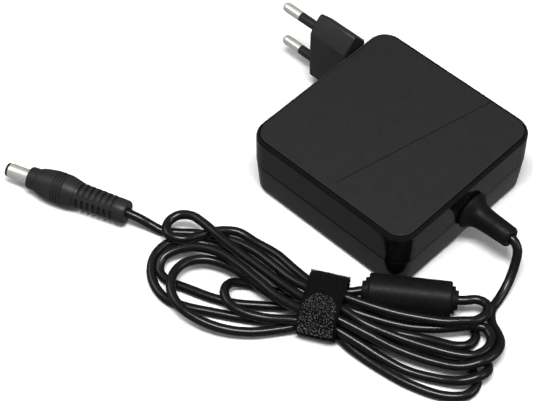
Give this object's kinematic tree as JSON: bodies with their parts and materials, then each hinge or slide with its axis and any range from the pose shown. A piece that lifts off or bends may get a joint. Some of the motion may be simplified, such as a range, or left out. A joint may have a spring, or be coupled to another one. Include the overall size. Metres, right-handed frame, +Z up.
{
  "type": "laptop power adapter",
  "caption": "Square black laptop power adapter with a pull-off round-pin mains plug head, cord boot, ferrite bead, DC cord wound in a tied hank and a barrel plug.",
  "frame": {"origin": "centre of the housing's flat underside, on the surface it lies on", "axes": "+Z up; +X from the mains plug side to the side where the DC cord leaves; +Y towards the corner the mains plug sits near"},
  "size_m": [0.1901, 0.1398, 0.0355],
  "materials": {
    "shell": "glossy black",
    "panel": "fine matte black",
    "black": "satin black",
    "cord": "smooth glossy black jacket",
    "metal": "nickel plated",
    "brass": "plain",
    "label": "blank silver-grey label",
    "board": "green solder resist",
    "ferrite": "dark grey ferrite",
    "tape": "yellow tape",
    "can": "dark blue sleeve",
    "yellow": "yellow box",
    "blue": "blue dipped",
    "copper": "enamelled copper",
    "alu": "bare sheet",
    "resin": "moulded resin",
    "glass": "clear tube",
    "red": "red insulation",
    "velcro": "black hook-and-loop tape"
  },
  "bodies": {
    "housing": {"board_rail_1": "black", "board_rail_2": "black", "bridge_rectifier": "resin", "choke_core": "ferrite", "choke_winding": "copper", "circuit_board": "board", "controller_chip": "resin", "cord_hank": "cord", "cord_lead": "cord", "cord_tail": "cord", "cord_through_ferrite": "cord", "dc_barrel": "metal", "dc_center_contact": "metal", "dc_insulator": "black", "dc_plug_body": "black", "dc_strain_relief": "black", "dc_wire_1": "red", "dc_wire_2": "black", "ferrite_core": "ferrite", "ferrite_overmould": "black", "fuse": "glass", "head_socket": "black", "label_plate": "label", "lower_shell": "shell", "mains_capacitor": "can", "mains_wire_1": "red", "mains_wire_2": "black", "optocoupler": "resin", "output_capacitor_1": "can", "output_capacitor_2": "can", "primary_heatsink": "alu", "rectifier_diode": "resin", "secondary_heatsink": "alu", "socket_spring_1": "brass", "socket_spring_2": "brass", "strain_relief_boot": "black", "switching_transistor": "resin", "tie_band": "velcro", "tie_tongue": "velcro", "top_panel": "panel", "transformer_core": "ferrite", "transformer_winding": "tape", "upper_shell": "shell", "x_capacitor": "yellow", "y_capacitor": "blue"},
    "plug_head": {"plug_body": "black", "plug_tongue": "black", "pin_1": "metal", "pin_2": "metal", "pin_sleeve_1": "black", "pin_sleeve_2": "black", "contact_blade_1": "metal", "contact_blade_2": "metal"}
  },
  "joints": [
    {"name": "plug_head_pull", "type": "slide", "parent": "housing", "child": "plug_head", "axis": [-1, 0, 0], "range_m": [0, 0.0135]}
  ]
}
